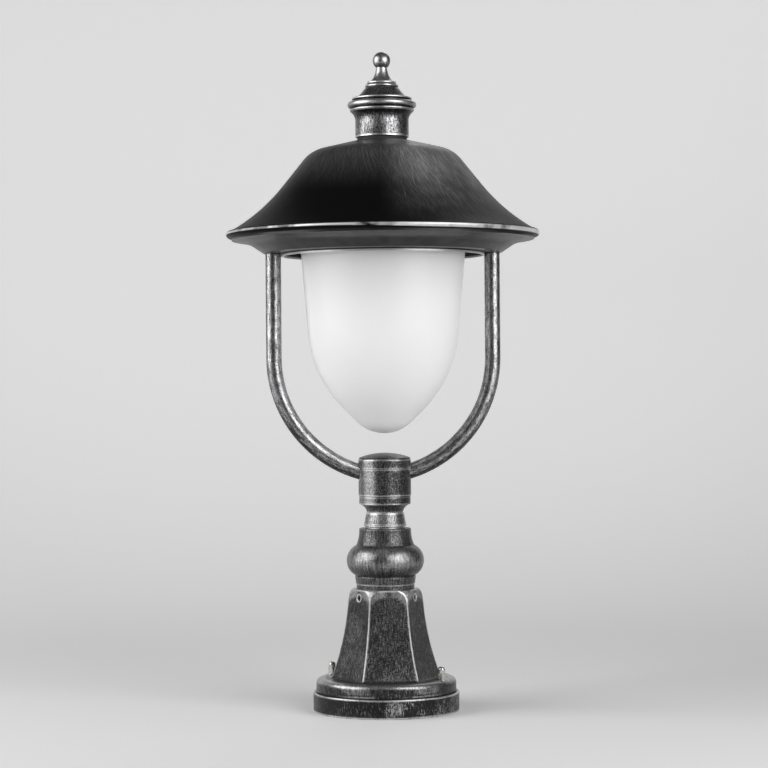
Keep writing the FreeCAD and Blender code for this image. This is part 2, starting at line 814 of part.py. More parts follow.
def arm_spots(x_in):
    """Corners of an arm's axis from inside the hub, at x_in, to the tray."""
    knee = BEND_Z - ARM_BEND_R * math.tan(ARM_BEND / 2)
    return [
        (Vector(x_in, 0, ARM_AXIS_Z + ARM_SLOPE * x_in), 0.0, 0.0),
        (Vector(ARM_X, 0, knee), ARM_BEND_R, 0.0),
        (Vector(ARM_X, 0, TRAY_Z), 0.0, 0.0),
    ]


def arm_bores():
    """Bars along both arm tails, for the holes in the hub wall."""
    start = Vector(0, 0, ARM_AXIS_Z)
    bar = Part.makeCylinder(ARM_D / 2 + PLAY, HUB_D, start, Vector(1, 0, ARM_SLOPE))
    return around(bar, (0.0, 180.0))


def hub():
    outer = HUB_D / 2
    hole = NIPPLE_D / 2 + PLAY
    cavity = outer - HUB_WALL
    foot_z = HUB_Z + HUB_FOOT_H
    band_z = foot_z + HUB_BAND_H
    line_z = HUB_Z + HUB_LINE_H
    half = HUB_LINE / 2
    body = turned([
        corner(hole, HUB_Z),
        corner(HUB_FOOT_D / 2, HUB_Z),
        corner(outer - 2 * HUB_LINE, foot_z, 0, -HUB_FOOT_SAG),
        corner(outer - HUB_LINE, foot_z, half),
        corner(outer - HUB_LINE, band_z, half),
        corner(outer - 2 * HUB_LINE, band_z),
        corner(outer - 2 * HUB_LINE, band_z + HUB_LINE),
        corner(outer, band_z + HUB_LINE, half),
        corner(outer, line_z - half),
        corner(outer - HUB_LINE, line_z - half),
        corner(outer - HUB_LINE, line_z + half),
        corner(outer, line_z + half),
        corner(outer, HUB_TOP_Z, HUB_LINE),
        corner(cavity, HUB_TOP_Z),
        corner(cavity, HUB_FLOOR_Z),
        corner(hole, HUB_FLOOR_Z),
    ])
    return cut_all(body, arm_bores())


def hub_lid():
    edge = HUB_D / 2 - HUB_LINE
    spigot = HUB_D / 2 - HUB_WALL - PLAY
    low = HUB_TOP_Z - LID_SPIGOT
    rim_z = HUB_TOP_Z + LID_EDGE
    sphere = (edge ** 2 + LID_RISE ** 2) / (2 * LID_RISE)
    sag = arc_sag(sphere, (edge, rim_z), (0, LID_TOP_Z))
    return turned([
        corner(spigot - LID_WALL, low),
        corner(spigot, low),
        corner(spigot, HUB_TOP_Z),
        corner(edge, HUB_TOP_Z),
        corner(edge, rim_z),
        corner(0, LID_TOP_Z, 0, sag),
        corner(0, LID_TOP_Z - LID_WALL),
        corner(spigot - LID_WALL, rim_z - LID_WALL / 2),
    ])


def right_arm():
    spots = arm_spots(HUB_D / 2 - HUB_WALL - ARM_STICK)
    return swept(spots, ARM_D).cut(swept(spots, ARM_D - 2 * ARM_WALL))


def left_arm():
    return around(right_arm(), (180.0,))[0]


def arm_bushes():
    """Hollow threaded ends that sit in the arm tops and pass through the tray and the bridge."""
    body = ARM_D / 2 - ARM_WALL - THREAD_PLAY
    thread = BUSH_D / 2
    top = RING_TOP_Z + BRIDGE_T + ARM_WASHER_T + ARM_NUT_H + BUSH_PROUD
    bush = turned([
        corner(BUSH_BORE_D / 2, TRAY_Z - BUSH_SEAT),
        corner(body, TRAY_Z - BUSH_SEAT),
        corner(body, TRAY_Z),
        corner(thread, TRAY_Z),
        corner(thread, top),
        corner(BUSH_BORE_D / 2, top),
    ])
    bush.translate(Vector(ARM_X, 0, 0))
    return around(bush, (0.0, 180.0))


def arm_washers():
    low = RING_TOP_Z + BRIDGE_T
    return around(pipe(ARM_WASHER_D, BUSH_D + 2 * PLAY, low, low + ARM_WASHER_T, ARM_X), (0.0, 180.0))


def arm_lock_nuts():
    low = RING_TOP_Z + BRIDGE_T + ARM_WASHER_T
    high = low + ARM_NUT_H
    nut = hexagon(ARM_NUT_AF, low, high, ARM_X).cut(drum(BUSH_D + 2 * THREAD_PLAY, low, high, ARM_X))
    return around(nut, (0.0, 180.0))


def tray():
    rim = HOOD_D / 2 - TRAY_RIM_INSET
    rim_z = TRAY_Z + TRAY_RIM_H
    flat = rim - TRAY_RIM_W
    knee = RING_R + TRAY_KNEE_SHARE * (flat - RING_R)
    body = spun([
        corner(LIP_R, TRAY_Z - TRAY_LIP_H),
        corner(LIP_R, TRAY_Z),
        corner(RING_R, TRAY_Z, TRAY_EDGE),
        corner(knee, TRAY_Z + TRAY_KNEE_H, TRAY_KNEE_ROUND),
        corner(flat, rim_z, TRAY_RIM_W),
        corner(rim, rim_z),
    ], TRAY_T)
    hole = drum(BUSH_D + 2 * PLAY, TRAY_Z, RING_TOP_Z, ARM_X)
    return cut_all(body, around(hole, (0.0, 180.0)))


def lamp_bridge():
    """A hat-shaped strap from one arm top to the other."""
    end = ARM_X + BRIDGE_END
    rise = pan_reach() + GALLERY_T + BRIDGE_GAP
    knee = rise + BRIDGE_SLANT
    spots = [
        corner(-end, RING_TOP_Z),
        corner(-knee, RING_TOP_Z, BRIDGE_BEND),
        corner(-rise, BRIDGE_Z, BRIDGE_BEND),
        corner(rise, BRIDGE_Z, BRIDGE_BEND),
        corner(knee, RING_TOP_Z, BRIDGE_BEND),
        corner(end, RING_TOP_Z),
    ]
    face = Part.Face(Part.Wire(path_edges(spots + parallel(spots, BRIDGE_T)[::-1], True)))
    face.translate(Vector(0, -BRIDGE_W / 2, 0))
    strap = face.extrude(Vector(0, BRIDGE_W, 0))
    foot_hole = drum(BUSH_D + 2 * PLAY, RING_TOP_Z, RING_TOP_Z + BRIDGE_T, ARM_X)
    return cut_all(strap, around(foot_hole, (0.0, 180.0)) + holder_holes(BRIDGE_Z, BRIDGE_TOP_Z))


def holder_screw_x():
    """Where the two holder screws stand to either side of the axis."""
    return (HOLDER_FLANGE_D / 2 + HOLDER_D / 2) / 2 - HOLDER_SCREW_HEAD_T / 2


def holder_holes(low, high):
    """Screw holes and a lead hole through the bridge and the gallery pan."""
    screw_hole = drum(HOLDER_SCREW_D + 2 * PLAY, low, high, holder_screw_x())
    return around(screw_hole, (0.0, 180.0)) + [drum(LEAD_HOLE_D, low, high, LEAD_ENTRY_X)]


def hood():
    bead = HOOD_BEAD_D / 2
    rim = HOOD_D / 2 - bead
    bead_z = RIM_Z + bead
    edge_z = RIM_Z + HOOD_BEAD_D - HOOD_T / 3
    waist_z = edge_z + HOOD_WAIST_H - HOOD_BEAD_D
    shell = spun([
        corner(rim, edge_z),
        corner(HOOD_WAIST_D / 2, waist_z, HOOD_WAIST_ROUND),
        corner(HOOD_CORNER_D / 2, CROWN_Z - HOOD_CORNER_DROP, HOOD_CORNER_ROUND),
        corner(HOOD_LAND_D / 2, CROWN_Z, HOOD_LAND_ROUND),
        corner(ROD_D / 2 + PLAY, CROWN_Z),
    ], HOOD_T)
    roll = Part.makeTorus(rim, bead, Vector(0, 0, bead_z))
    flange = pipe(2 * rim, 2 * (rim - HOOD_FLANGE_W), RIM_Z, RIM_Z + HOOD_T)
    return shell.fuse(roll).fuse(flange).removeSplitter()


def hood_rod():
    return drum(ROD_D, BRIDGE_TOP_Z, FINIAL_Z + ROD_BITE)


def rod_nut():
    high = BRIDGE_TOP_Z + ROD_NUT_H
    nut = hexagon(ROD_NUT_AF, BRIDGE_TOP_Z, high)
    return nut.cut(drum(ROD_D + 2 * THREAD_PLAY, BRIDGE_TOP_Z, high))


def collar_seal():
    return pipe(SEAL_D, ROD_D + 2 * PLAY, CROWN_Z, COLLAR_Z)


def collar():
    hole = ROD_D / 2 + PLAY
    cavity = COLLAR_CAVITY_D / 2
    web_z = FINIAL_Z - COLLAR_WEB
    outside = scaled(COLLAR_TURNING, COLLAR_D / 2, COLLAR_H, COLLAR_Z)
    inside = [
        corner(hole, FINIAL_Z),
        corner(hole, web_z),
        corner(cavity, web_z, COLLAR_CAVITY_ROUND),
        corner(cavity, COLLAR_Z),
    ]
    return turned(outside + inside)


def finial():
    radius = FINIAL_D / 2
    ball = FINIAL_BALL_D / 2
    stem = FINIAL_TURNING[-1][0] * radius
    join_z = BALL_Z - math.sqrt(ball ** 2 - stem ** 2)
    top_z = BALL_Z + ball
    sag = arc_sag(ball, (stem, join_z), (0, top_z))
    turning = scaled(FINIAL_TURNING[:-1], radius, FINIAL_H, FINIAL_Z)
    neck = corner(stem, join_z, 0, FINIAL_TURNING[-1][2] * radius)
    body = turned([corner(0, FINIAL_Z)] + turning + [neck, corner(0, top_z, 0, sag)])
    return body.cut(drum(ROD_D + 2 * THREAD_PLAY, FINIAL_Z, FINIAL_Z + ROD_BITE + PLAY))


def pan_reach():
    """Inner radius of the gallery skirt."""
    return DIFFUSER_D / 2 + BEAD_OUT + BEAD_PLAY


def gallery_pan():
    skirt = pan_reach()
    hole = holder_screw_x() - HOLDER_SCREW_D
    body = spun([
        corner(skirt, BRIDGE_Z - GALLERY_H),
        corner(skirt, PAN_Z, GALLERY_EDGE),
        corner(0, PAN_Z),
    ][::-1], GALLERY_T)
    screw_hole = radial(GALLERY_SCREW_D + 2 * THREAD_PLAY, hole, skirt + 2 * GALLERY_T, GALLERY_SCREW_Z)
    return cut_all(body, around(screw_hole, GALLERY_ANGLES) + holder_holes(PAN_Z, BRIDGE_Z))


def gallery_screws():
    tip = DIFFUSER_D / 2 + PLAY
    seat = pan_reach() + GALLERY_T
    shank = radial(GALLERY_SCREW_D, tip, seat, GALLERY_SCREW_Z)
    head = radial(GALLERY_SCREW_HEAD_D, seat, seat + GALLERY_SCREW_HEAD_T, GALLERY_SCREW_Z)
    return around(shank.fuse(head), GALLERY_ANGLES)


def diffuser_path():
    """Outer line of the glass from the edge of its rounded tip to its rim."""
    cone = math.radians(DIFFUSER_CONE)
    taper = math.tan(math.radians(DIFFUSER_TAPER))
    rim = DIFFUSER_D / 2
    bottom = GLASS_TOP_Z - DIFFUSER_H
    apex = bottom - DIFFUSER_TIP * (1 / math.sin(cone) - 1)
    lean = math.tan(cone)
    neck_z = GLASS_TOP_Z - BEAD_H
    belly_z = (rim - taper * neck_z + lean * apex) / (lean - taper)
    belly = lean * (belly_z - apex)
    tip_r = DIFFUSER_TIP * math.cos(cone)
    tip_z = apex + tip_r / lean
    return [
        corner(tip_r, tip_z),
        corner(belly, belly_z, DIFFUSER_BELLY),
        corner(rim, neck_z),
        corner(rim, GLASS_TOP_Z),
    ], bottom


def diffuser():
    outer, bottom = diffuser_path()
    inner = parallel(outer, DIFFUSER_T)[::-1]
    arc = math.radians(90 - DIFFUSER_CONE) / 2
    outer_sag = DIFFUSER_TIP * (1 - math.cos(arc))
    inner_sag = (DIFFUSER_TIP - DIFFUSER_T) * (1 - math.cos(arc))
    start, _, _ = outer[0]
    closing = [
        corner(0, bottom + DIFFUSER_T, 0, -inner_sag),
        corner(0, bottom),
        (start, 0.0, outer_sag),
    ]
    shell = turned(outer[1:] + inner + closing)
    bead = DIFFUSER_D / 2 + BEAD_OUT
    low = GLASS_TOP_Z - BEAD_H
    root = DIFFUSER_D / 2 - DIFFUSER_T / 2
    rim = turned([
        corner(root, low),
        corner(bead, low, BEAD_H / 3),
        corner(bead, GLASS_TOP_Z, BEAD_H / 3),
        corner(root, GLASS_TOP_Z),
    ])
    return shell.fuse(rim).removeSplitter()


def diffuser_seal():
    inner = DIFFUSER_D - 2 * DIFFUSER_T
    return pipe(DIFFUSER_D, inner, GLASS_TOP_Z, PAN_Z)


def lampholder():
    flange = HOLDER_FLANGE_D / 2
    outer = HOLDER_D / 2
    socket = SHELL_D / 2 + PLAY
    flange_z = PAN_Z - HOLDER_FLANGE_H
    low = PAN_Z - HOLDER_H
    body = turned([
        corner(0, flange_z),
        corner(socket, flange_z),
        corner(socket, low),
        corner(outer, low, HOLDER_FLANGE_H / 4),
        corner(outer, flange_z, HOLDER_FLANGE_H / 4),
        corner(flange, flange_z, HOLDER_FLANGE_H / 4),
        corner(flange, PAN_Z),
        corner(0, PAN_Z),
    ])
    screw_hole = drum(HOLDER_SCREW_D + 2 * THREAD_PLAY, PAN_Z - HOLDER_SCREW_BITE, PAN_Z, holder_screw_x())
    return cut_all(body, around(screw_hole, (0.0, 180.0)))


def holder_shell():
    high = CONTACT_Z - PLAY
    return pipe(SHELL_D, SHELL_D - 2 * SHELL_T, high - SHELL_H, high).fuse(
        pipe(SHELL_D, CONTACT_SPREAD, high, CONTACT_Z + CONTACT_T)).removeSplitter()


def holder_contact():
    return drum(CONTACT_D, CONTACT_Z, CONTACT_Z + CONTACT_T)


def holder_screws():
    x = holder_screw_x()
    shank = drum(HOLDER_SCREW_D, PAN_Z - HOLDER_SCREW_BITE, BRIDGE_TOP_Z, x)
    head = slotted(HOLDER_SCREW_HEAD_D, BRIDGE_TOP_Z, BRIDGE_TOP_Z + HOLDER_SCREW_HEAD_T, x, 0)
    return around(shank.fuse(head), (0.0, 180.0))


def bulb():
    """A sealed lamp, cap up, as one solid."""
    cap = CAP_D / 2
    neck = BULB_COLLAR_D / 2
    globe = BULB_GLOBE_D / 2
    cap_z = CONTACT_Z - CAP_H
    tip_z = CONTACT_Z - BULB_LENGTH
    globe_z = tip_z + globe
    neck_z = PAN_Z - HOLDER_H - CONTACT_T
    return turned([
        corner(0, tip_z),
        corner(globe, globe_z, 0, globe * (1 - math.sqrt(0.5))),
        corner(neck, neck_z, 0, globe * 0.12),
        corner(neck, cap_z),
        corner(cap, cap_z),
        corner(cap, CONTACT_Z - CONTACT_T),
        corner(CONTACT_D / 2, CONTACT_Z - CONTACT_T / 2),
        corner(CONTACT_D / 2, CONTACT_Z),
        corner(0, CONTACT_Z),
    ])


def supply_lead():
    """The inner lead from the terminal block, up the stem and the right arm, to the lampholder."""
    start = TERMINAL_Y - TERMINAL_W / 2
    low = BASE_FLOOR + LEAD_Z
    high = BRIDGE_TOP_Z + LEAD_RISE
    arm = arm_spots(0.0)
    spots = [
        (Vector(0, start, low), 0.0, 0.0),
        (Vector(0, 0, low), LEAD_BEND, 0.0),
        (arm[0][0], LEAD_BEND, 0.0),
        arm[1],
        (Vector(ARM_X, 0, high), LEAD_TURN, 0.0),
        (Vector(LEAD_ENTRY_X, 0, high), LEAD_TURN, 0.0),
        (Vector(LEAD_ENTRY_X, 0, PAN_Z), 0.0, 0.0),
    ]
    return swept(spots, LEAD_D)


def save(name, shape):
    """One STEP file for a piece, or for a group of like pieces."""
    if isinstance(shape, list):
        shape = Part.makeCompound(shape)
    shape.exportStep(f"parts/{name}.step")


PIECES = (
    mounting_dish, base_gasket, flange_studs, flange_washers, acorn_nuts, cable_grommet,
    terminal_block, clamp_screws, block_screws, earth_screw,
    pedestal, set_screws, baluster, neck_collar, tie_nipple, nipple_nuts, hub, hub_lid,
    left_arm, right_arm, arm_bushes, arm_washers, arm_lock_nuts,
    tray, lamp_bridge, hood, hood_rod, rod_nut, collar_seal, collar, finial,
    gallery_pan, gallery_screws, diffuser, diffuser_seal,
    lampholder, holder_shell, holder_contact, holder_screws, bulb, supply_lead,
)

os.makedirs("parts", exist_ok=True)
for piece in PIECES:
    save(piece.__name__, piece())
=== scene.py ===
import math

import bpy
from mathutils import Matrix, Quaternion, Vector


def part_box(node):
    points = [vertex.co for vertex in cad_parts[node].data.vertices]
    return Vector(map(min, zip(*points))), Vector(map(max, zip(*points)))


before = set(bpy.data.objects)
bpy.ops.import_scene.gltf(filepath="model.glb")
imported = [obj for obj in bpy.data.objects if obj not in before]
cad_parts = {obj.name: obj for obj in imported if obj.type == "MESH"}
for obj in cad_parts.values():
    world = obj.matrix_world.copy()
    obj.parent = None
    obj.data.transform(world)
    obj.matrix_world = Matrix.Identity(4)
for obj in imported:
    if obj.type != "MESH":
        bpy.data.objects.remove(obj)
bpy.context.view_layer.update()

# Camera, in metres and degrees, for a square picture
LENS = 107.8
CAMERA_DISTANCE = 2.367
CAMERA_HEIGHT = 0.335
CAMERA_AZIMUTH = -5.0
CAMERA_ROLL = 0.45

# Stage
FLOOR_RADIUS = 3.2
FRONT_CUT = 0.6
SWEEP_RADIUS = 2.4
SWEEP_STEPS = 24
WALL_HEIGHT = 3.0
WALL_STEEPNESS = 2.5
WALL_DELAY = 1.3
SPOKES = 96
FLOOR_GREY = 0.78
NEAR_GLOW = 0.10
FAR_GLOW = 0.62
GLOW_END = 2.8
ROOM_GREY = 0.07

# Lights as (name, position, width, height, watts)
LAMPS = (
    ("left_panel", (-1.58, -0.30, 0.95), 1.60, 1.60, 26.5),
    ("right_panel", (1.06, -1.32, 0.95), 1.40, 1.60, 26.0),
    ("top_panel", (0.40, 1.35, 1.60), 0.70, 0.50, 3.0),
)
AIM = Vector((0.0, 0.0, 0.35))

# Colours
BLACK = (0.005, 0.005, 0.0053, 1.0)
DULL_SILVER = (0.46, 0.46, 0.47, 1.0)
SILVER = (0.64, 0.64, 0.65, 1.0)
BRIGHT_SILVER = (0.86, 0.86, 0.86, 1.0)
OPAL = (0.91, 0.91, 0.91, 1.0)
LIGHT_OPAL = (0.94, 0.94, 0.935, 1.0)

# Noise cells per metre in the paints
SPECKLE_SCALE = 700.0
PATCH_SCALE = 45.0
SHADE_SCALE = 90.0
WEAR_SCALE = 260.0
HOOD_PATCH_SCALE = 24.0
TRAY_SCALE = 60.0
OPAL_TONE_SCALE = 9.0
OPAL_GRAIN_SCALE = 900.0
OPAL_WAVE_SCALE = 60.0
PLATE_SCALE = 500.0

# The range that most of a noise lies in
NOISE_LOW = 0.3
NOISE_HIGH = 0.7

# Heights of bumps, and how deep light goes into the opal, in metres
SPECKLE_HEIGHT = 0.00015
BRUSH_HEIGHT = 0.0001
WAVE_HEIGHT = 0.0001
WEAR_HEIGHT = 0.00005
GRAIN_HEIGHT = 0.00006
OPAL_DEPTH = 0.015

# Dry brushing: the grain that silver needs to show, where the cover is 0 and where it is 1
SPARSE_LIMIT = 0.68
DENSE_LIMIT = 0.34

# Castings: how far from a corner or a groove the paint changes, in metres, and how much darker it gets in
# grooves and, as painted shade, on undersides
EDGE_REACH = 0.0022
GROOVE_REACH = 0.004
GROOVE_DARK = 0.7
UNDERSIDE_SHADE = 0.45
SOFT_CORNER = 0.0008
RAY_SAMPLES = 6
CORNER_SAMPLES = 4


def level(node, rise):
    """A height above the lowest point of a CAD node."""
    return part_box(node)[0].z + rise


# Places that the paint follows, in metres
ARM_R = 0.008
ARM_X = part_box("right_arm")[1].x - ARM_R
ARM_BEND_R = 0.122
ARM_BEND_Z = 0.3621
FLANGE_Z = level("pedestal", 0.0)
FLANGE_LINE_H = 0.004
FLANGE_EDGE_Z = level("pedestal", 0.008)
FLANGE_EDGE_H = 0.0025
FLANGE_EDGE_R = 0.060
FLANGE_EDGE_W = 0.004
SPANDREL_Z = level("pedestal", 0.0825)
SPANDREL_H = 0.0155
SPANDREL_W = 0.016
SPANDREL_CURVE = 3.6
SPANDREL_FADE = (-0.004, 0.006)
SPANDREL_COVER = 0.34
SHOULDER_Z = level("pedestal", 0.0855)
MOUTH_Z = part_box("pedestal")[1].z
PANELS = 6
RIDGE_R = 0.038
RIDGE_FADE = (0.12, 0.40)
FOOT_LINE_Z = level("baluster", 0.0258)
FOOT_LINE_FADE = (0.0004, 0.0009)
BULB_Z = level("baluster", 0.0345)
NECK_Z = level("baluster", 0.066)
BULB_FADE = 0.004
BALUSTER_COVER = 0.16
LIP_TOP_Z = level("tray", 0.0018)
LIP_FADE = 0.0003
BEAD_Z = level("hood", 0.0012)
BEAD_TOP_Z = level("hood", 0.0052)
BEAD_THIN = 0.0020
BEAD_FADE = 0.0005
BEAD_WIDENS_X = (-0.08, 0.05)
BEAD_FILLS_X = (-0.02, 0.04)
BRUSHED_Z = level("hood", 0.0046)
BRUSHED_TOP_Z = level("hood", 0.0746)
CROWN_Z = level("hood", 0.0396)
CROWN_TOP_Z = level("hood", 0.0896)
RING_Z = level("collar", 0.0335)
RING_HALF_H = 0.002

# Directions of the two sides that are brushed with more silver; each points towards a lamp, so the extra
# silver is partly a painted highlight
HUB_LIT_SIDE = (-0.79, -0.61, 0.0)
HOOD_LIT_SIDE = (0.61, -0.79, 0.0)

# Hood strokes and breaks in its bead: how many go round, how short they are, and how far strokes slant
HOOD_TURNS = 120.0
HOOD_RISE = 36.0
HOOD_TWIST = 3.0
BREAK_TURNS = 7.0
BREAK_RISE = 60.0


class Graph:
    """A material's nodes around one Principled shader, with short calls for the nodes used here."""

    def __init__(self, name):
        self.material = bpy.data.materials.new(name)
        self.material.use_nodes = True
        self.tree = self.material.node_tree
        self.tree.nodes.clear()
        self.shader = self.add("ShaderNodeBsdfPrincipled")
        output = self.add("ShaderNodeOutputMaterial")
        self.tree.links.new(self.shader.outputs[0], output.inputs["Surface"])
        self.spot = self.add("ShaderNodeTexCoord").outputs["Object"]

    def add(self, kind, **settings):
        node = self.tree.nodes.new(kind)
        for key, value in settings.items():
            setattr(node, key, value)
        return node

    def feed(self, socket, value):
        """Links a socket, or sets it directly when the value is constant."""
        if isinstance(value, bpy.types.NodeSocket):
            self.tree.links.new(value, socket)
        else:
            socket.default_value = value

    def calc(self, operation, *values, clamp=False):
        node = self.add("ShaderNodeMath", operation=operation, use_clamp=clamp)
        for socket, value in zip(node.inputs, values):
            self.feed(socket, value)
        return node.outputs[0]

    def total(self, *values):
        result = values[0]
        for value in values[1:]:
            result = self.calc("ADD", result, value)
        return result

    def minus(self, first, second, clamp=False):
        return self.calc("SUBTRACT", first, second, clamp=clamp)

    def times(self, first, second, clamp=False):
        return self.calc("MULTIPLY", first, second, clamp=clamp)

    def hypot(self, first, second):
        return self.calc("SQRT", self.total(self.times(first, first), self.times(second, second)))

    def distance(self, first, second):
        return self.calc("ABSOLUTE", self.minus(first, second))

    def axes(self, vector=None):
        node = self.add("ShaderNodeSeparateXYZ")
        self.feed(node.inputs[0], vector or self.spot)
        return node.outputs

    def height(self):
        return self.axes()[2]

    def radius(self):
        x, y, _ = self.axes()
        return self.hypot(x, y)

    def vector(self, x, y, z):
        node = self.add("ShaderNodeCombineXYZ")
        for socket, value in zip(node.inputs, (x, y, z)):
            self.feed(socket, value)
        return node.outputs[0]

    def noise(self, vector, scale, detail=2.0, roughness=0.5):
        node = self.add("ShaderNodeTexNoise")
        self.feed(node.inputs["Vector"], vector)
        node.inputs["Scale"].default_value = scale
        node.inputs["Detail"].default_value = detail
        node.inputs["Roughness"].default_value = roughness
        return node.outputs[0]

    def ramp(self, value, low, high, start=0.0, end=1.0):
        """A smooth step from start to end as the value goes from low to high."""
        node = self.add("ShaderNodeMapRange", interpolation_type="SMOOTHSTEP")
        for socket, item in zip(node.inputs, (value, low, high, start, end)):
            self.feed(socket, item)
        return node.outputs[0]

    def vary(self, noise, start, end):
        """A value from start to end over the usual range of a noise."""
        return self.ramp(noise, NOISE_LOW, NOISE_HIGH, start, end)

    def mix(self, share, first, second):
        """A mix of two numbers."""
        node = self.add("ShaderNodeMix")
        self.feed(node.inputs[0], share)
        self.feed(node.inputs[2], first)
        self.feed(node.inputs[3], second)
        return node.outputs[0]

    def blend(self, share, first, second):
        """A mix of two colours."""
        node = self.add("ShaderNodeMix", data_type="RGBA")
        self.feed(node.inputs["Factor"], share)
        colours = [socket for socket in node.inputs if socket.type == "RGBA"]
        self.feed(colours[0], first)
        self.feed(colours[1], second)
        return [socket for socket in node.outputs if socket.type == "RGBA"][0]

    def occlusion(self, distance, inside):
        node = self.add("ShaderNodeAmbientOcclusion", samples=RAY_SAMPLES, inside=inside, only_local=True)
        node.inputs["Distance"].default_value = distance
        return self.minus(1.0, node.outputs["AO"])

    def open_edge(self, distance):
        """1 on outside corners, from rays cast into the solid."""
        return self.occlusion(distance, inside=True)

    def cavity(self, distance):
        """1 in grooves and inside corners."""
        return self.occlusion(distance, inside=False)

    def rounded(self, radius):
        """The normal with its corners rounded."""
        node = self.add("ShaderNodeBevel", samples=CORNER_SAMPLES)
        node.inputs["Radius"].default_value = radius
        return node.outputs[0]

    def underside(self):
        """1 on surfaces that face down, 0 on upright ones."""
        normal = self.add("ShaderNodeNewGeometry").outputs["Normal"]
        return self.ramp(self.axes(normal)[2], low=-0.75, high=-0.05, start=1.0, end=0.0)

    def bump(self, height, distance, strength, normal=None):
        node = self.add("ShaderNodeBump")
        self.feed(node.inputs["Height"], height)
        node.inputs["Distance"].default_value = distance
        node.inputs["Strength"].default_value = strength
        if normal:
            self.feed(node.inputs["Normal"], normal)
        self.feed(self.shader.inputs["Normal"], node.outputs[0])

    def set(self, **values):
        names = {
            "colour": "Base Color",
            "metallic": "Metallic",
            "roughness": "Roughness",
            "coat": "Coat Weight",
            "coat_roughness": "Coat Roughness",
            "specular": "Specular IOR Level",
            "subsurface": "Subsurface Weight",
            "ior": "IOR",
        }
        for key, value in values.items():
            self.feed(self.shader.inputs[names[key]], value)


def round_spot(graph, turns, rise, twist=0.0):
    """Seamless coordinates around z: strokes that run up and down, as many as turns, stretched by rise."""
    radius = graph.radius()
    fall = graph.minus(graph.height(), radius)
    turned = graph.add("ShaderNodeVectorRotate", rotation_type="Z_AXIS")
    graph.feed(turned.inputs["Vector"], graph.spot)
    graph.feed(turned.inputs["Angle"], graph.times(fall, twist))
    x, y, _ = graph.axes(turned.outputs[0])
    east = graph.times(graph.calc("DIVIDE", x, radius), turns)
    north = graph.times(graph.calc("DIVIDE", y, radius), turns)
    return graph.vector(east, north, graph.times(fall, rise))


def arm_spot(graph, across, along):
    """Coordinates that follow the bent arms, stretched along them."""
    x, y, z = graph.axes()
    above = graph.minus(z, ARM_BEND_Z)
    out = graph.minus(graph.calc("ABSOLUTE", x), ARM_X - ARM_BEND_R)
    drop = graph.calc("MINIMUM", above, 0.0)
    rise = graph.calc("MAXIMUM", above, 0.0)
    reach = graph.hypot(out, drop)
    bend = graph.times(graph.calc("ARCTAN2", drop, out), ARM_BEND_R)
    run = graph.total(bend, rise, graph.calc("SIGN", x))
    return graph.vector(graph.times(reach, across), graph.times(y, across), graph.times(run, along))


def upright(turns, rise):
    """Strokes that run up and down around z."""
    return lambda graph: round_spot(graph, turns, rise)


def along_arms(across, along):
    """Strokes that run along the arms."""
    return lambda graph: arm_spot(graph, across, along)


def even(value):
    """The same cover all over."""
    return lambda graph: value


def mixed(graph, first, second):
    """The mean of two noises."""
    return graph.total(graph.times(first, 0.5), graph.times(second, 0.5))


def dry_brush(graph, grain, cover, softness):
    """The share of silver: 1 where the grain passes a limit that falls as the cover rises."""
    limit = graph.ramp(cover, 0.0, 1.0, SPARSE_LIMIT, DENSE_LIMIT)
    return graph.ramp(grain, graph.minus(limit, softness), graph.total(limit, softness))


def lacquer(graph, silver, paint, metallic=4.0, roughness=0.33, ior=1.35):
    """Black lacquer with silver paint of two shades where the mask is 1."""
    shade = graph.blend(graph.noise(graph.spot, SHADE_SCALE, detail=3.0), *paint)
    wear = graph.noise(graph.spot, WEAR_SCALE, detail=3.0)
    gloss = graph.vary(wear, 0.31, 0.36)
    dull = graph.vary(wear, roughness - 0.05, roughness + 0.07)
    graph.set(
        colour=graph.blend(silver, BLACK, shade),
        metallic=graph.times(silver, metallic, clamp=True),
        roughness=graph.mix(silver, gloss, dull),
        ior=ior,
    )


def antique_casting(
    name, strokes, cover, softness=0.10, edge=0.7, corner_round=SOFT_CORNER, roughness=0.36, spread=0.6
):
    """Cast metal: fine silver mist on black, bright corners that are partly a painted highlight, black
    grooves and painted shade on undersides.
    """
    graph = Graph(name)
    speckle = graph.noise(graph.spot, SPECKLE_SCALE, detail=3.0, roughness=0.6)
    brushed = graph.noise(strokes(graph), 1.0, detail=3.0, roughness=0.6)
    patchy = graph.times(graph.minus(graph.noise(graph.spot, PATCH_SCALE), 0.5), spread)
    corner = graph.ramp(graph.open_edge(EDGE_REACH), low=0.06, high=0.24, end=edge)
    groove = graph.ramp(graph.cavity(GROOVE_REACH), low=0.15, high=0.6, end=GROOVE_DARK)
    # painted shade: less silver on surfaces that face down, so undersides render darker; the grooves stay
    # black
    grooves_and_shade = graph.total(groove, graph.times(graph.underside(), UNDERSIDE_SHADE))
    wanted = graph.minus(graph.total(cover(graph), patchy, corner), grooves_and_shade, clamp=True)
    silver = dry_brush(graph, mixed(graph, brushed, speckle), wanted, softness)
    # corners blend towards bright silver: worn metal, and also a painted highlight on ridges and rims
    worn_and_highlit = [graph.blend(corner, colour, BRIGHT_SILVER) for colour in (DULL_SILVER, SILVER)]
    lacquer(graph, silver, worn_and_highlit, roughness=roughness)
    height = mixed(graph, speckle, silver)
    graph.bump(height, SPECKLE_HEIGHT, strength=0.4, normal=graph.rounded(corner_round))
    return graph.material


def base_paint():
    return antique_casting("base_paint", upright(80.0, 140.0), even(0.24), softness=0.12, spread=1.1)


def ridge_turn(graph):
    """The angle to the nearest of the pedestal's six ridges."""
    x, y, _ = graph.axes()
    return graph.calc("PINGPONG", graph.calc("ARCTAN2", y, x), math.pi / PANELS)


